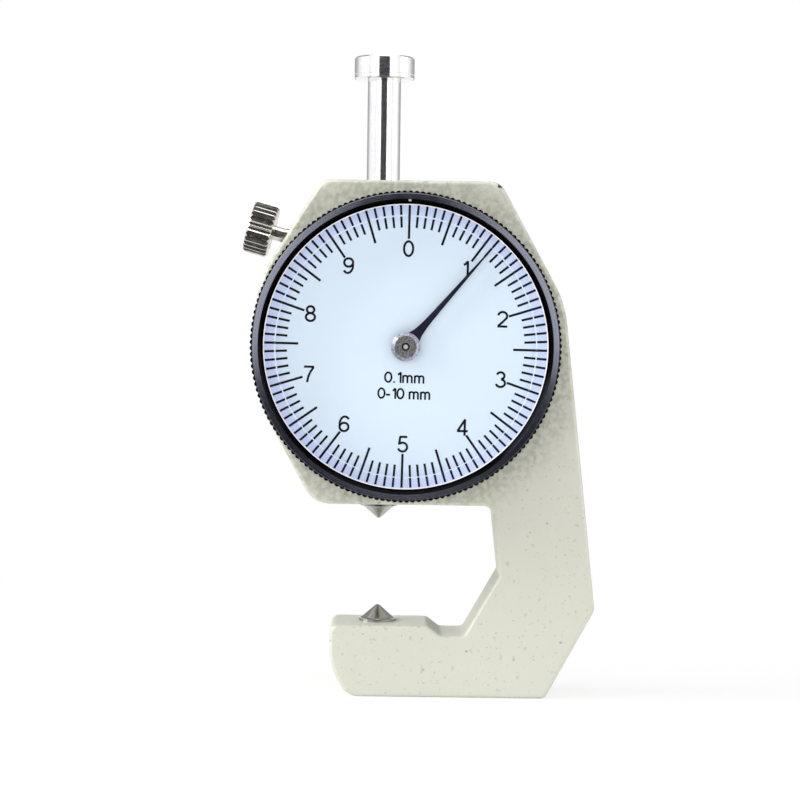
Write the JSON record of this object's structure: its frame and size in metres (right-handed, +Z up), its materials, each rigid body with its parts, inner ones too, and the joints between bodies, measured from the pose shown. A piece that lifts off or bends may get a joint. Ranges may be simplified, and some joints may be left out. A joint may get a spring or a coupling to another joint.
{
  "type": "dial thickness gauge",
  "caption": "Hand-held dial thickness gauge: painted C-shaped casting with a round dial, a spring-loaded vertical spindle over a fixed anvil, a knurled turning bezel and a side lock screw.",
  "frame": {"origin": "middle of the casting's flat bottom edge, straight below the measuring points", "axes": "+Z up along the spindle, +X from the nose towards the back of the throat, -Y out of the dial's face"},
  "size_m": [0.0453, 0.0159, 0.0809],
  "materials": {
    "casting_paint": "cream grey-green hammer-free stove enamel on a casting",
    "bright_steel": "hard chromed and polished",
    "plain_steel": "turned and left bright",
    "brass": "blanked or turned, fine brushed",
    "bronze_spring": "rolled bronze strip",
    "bezel_black": "black anodised, satin",
    "turned_aluminium": "fine turned",
    "cover_paint": "stove enamel on sheet",
    "hub_nickel": "nickel plated, turned face",
    "pointer_black": "satin black on thin sheet",
    "dial_white": "satin white with printed black scale",
    "crystal_clear": "clear polished acrylic"
  },
  "bodies": {
    "frame": {"frame": "casting_paint", "bezel_seat": "turned_aluminium", "upper_guide_bush": "bright_steel", "lower_guide_bush": "brass", "anvil_point": "bright_steel", "movement_plate": "brass", "movement_plate_screws": "plain_steel", "bridge_plate": "brass", "bridge_pillars": "brass", "bridge_screws": "plain_steel", "arbor_bushes": "brass", "guide_rail": "plain_steel", "guide_rail_screws": "plain_steel", "spring_post": "plain_steel", "return_spring": "plain_steel", "hairspring_stud": "plain_steel", "hairspring": "bronze_spring", "back_cover": "cover_paint", "back_cover_screws": "plain_steel", "bezel_spring": "plain_steel"},
    "spindle": {"spindle": "bright_steel", "spindle_point": "bright_steel", "lift_cap": "bright_steel", "guide_pin": "plain_steel"},
    "pinion": {"centre_pinion": "plain_steel", "pointer_hub": "hub_nickel", "pointer": "pointer_black"},
    "takeup": {"takeup_gear": "brass", "takeup_arbor": "plain_steel", "hairspring_collet": "brass"},
    "bezel": {"bezel": "bezel_black", "crystal": "crystal_clear", "dial_spacer_ring": "dial_white", "dial_plate": "dial_white", "dial_snap_ring": "plain_steel"},
    "lock_pad": {"lock_pad": "brass"},
    "lock_screw": {"lock_screw": "bright_steel"}
  },
  "joints": [
    {"name": "spindle_slide", "type": "slide", "parent": "frame", "child": "spindle", "axis": [0, 0, 1], "range_m": [-0.0111, 0], "stiffness_N_per_m": 70, "springref_m": -0.0229, "deforming": ["return_spring"]},
    {"name": "pinion_spin", "type": "hinge", "parent": "frame", "child": "pinion", "pos_m": [0.00313, 0, 0.04445], "axis": [0, 1, 0], "range_deg": [-400.3, 0]},
    {"name": "takeup_spin", "type": "hinge", "parent": "frame", "child": "takeup", "pos_m": [0.01012, 0, 0.04156], "axis": [0, 1, 0], "range_deg": [0, 107]},
    {"name": "bezel_turn", "type": "hinge", "parent": "frame", "child": "bezel", "pos_m": [0.00313, 0, 0.04445], "axis": [0, 1, 0], "continuous": true},
    {"name": "lock_pad_slide", "type": "slide", "parent": "frame", "child": "lock_pad", "axis": [0.9632, 0, -0.2689], "range_m": [-0.0008, 0]},
    {"name": "lock_screw_turn", "type": "hinge", "parent": "lock_pad", "child": "lock_screw", "pos_m": [0, 0, 0.0547], "axis": [0.9632, 0, -0.2689], "range_deg": [-721, 0]}
  ],
  "couplings": [
    {"joint": "pinion_spin", "follows": "spindle_slide", "rad_per_m": 628.32},
    {"joint": "takeup_spin", "follows": "spindle_slide", "rad_per_m": -167.55},
    {"joint": "lock_screw_turn", "follows": "lock_pad_slide", "rad_per_m": 15708}
  ]
}
